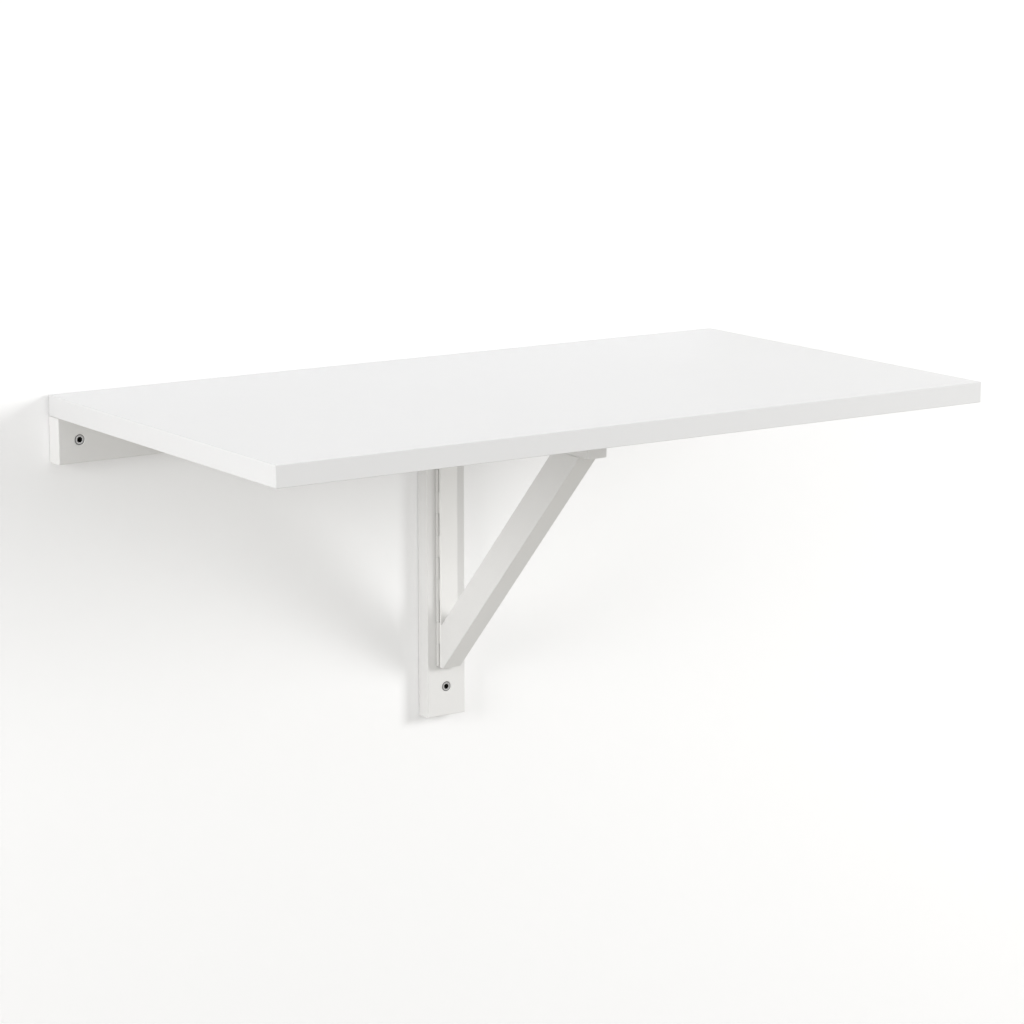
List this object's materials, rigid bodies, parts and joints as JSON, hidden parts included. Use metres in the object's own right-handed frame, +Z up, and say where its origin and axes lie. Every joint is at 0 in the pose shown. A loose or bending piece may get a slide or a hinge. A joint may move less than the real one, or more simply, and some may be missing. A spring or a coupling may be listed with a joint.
{
  "type": "wall mounted drop leaf table",
  "caption": "Wall mounted drop leaf table: a white board on a wall rail, held level by a triangular bracket that swings sideways on a hinged post.",
  "frame": {"origin": "centre of the wall rail's back face, on the wall", "axes": "+Y into the wall, +X to the right along the wall as seen from the room, +Z up"},
  "size_m": [0.74, 0.4444, 0.3535],
  "materials": {
    "lacquered_lath": "white satin lacquer over smooth wood",
    "leaf_board": "white satin lacquer on board",
    "edge_band": "smooth white edge band",
    "painted_bar": "white paint on steel",
    "beech_dowel": "plain beech",
    "screw_steel": "zinc plated steel",
    "hinge_steel": "zinc plated steel sheet"
  },
  "bodies": {
    "wall_frame": {"wall_rail": "lacquered_lath", "wall_post": "lacquered_lath", "rail_post_dowels": "beech_dowel", "rail_wall_screws": "screw_steel", "post_wall_screw": "screw_steel", "leaf_panel": "leaf_board", "leaf_edge_front": "edge_band", "leaf_edge_left": "edge_band", "leaf_edge_right": "edge_band", "leaf_edge_rear": "edge_band", "leaf_hinge_left_rail_angle": "hinge_steel", "leaf_hinge_left_leaf_plate": "hinge_steel", "leaf_hinge_left_pin": "hinge_steel", "leaf_hinge_left_rail_screws": "screw_steel", "leaf_hinge_left_leaf_screws": "screw_steel", "leaf_hinge_right_rail_angle": "hinge_steel", "leaf_hinge_right_leaf_plate": "hinge_steel", "leaf_hinge_right_pin": "hinge_steel", "leaf_hinge_right_rail_screws": "screw_steel", "leaf_hinge_right_leaf_screws": "screw_steel", "bracket_hinge_post_leaf": "painted_bar", "bracket_hinge_pin": "painted_bar", "bracket_hinge_post_screws": "screw_steel"},
    "bracket": {"bracket_hinge_stile_leaf": "painted_bar", "bracket_stile": "painted_bar", "bracket_arm": "lacquered_lath", "bracket_brace": "lacquered_lath", "bracket_arm_screws": "screw_steel", "bracket_brace_screws": "screw_steel", "bracket_dowels": "beech_dowel"}
  },
  "joints": [
    {"name": "bracket_swing", "type": "hinge", "parent": "wall_frame", "child": "bracket", "pos_m": [0.0304, -0.0176, -0.1425], "axis": [0, 0, -1], "range_deg": [0, 90]}
  ]
}
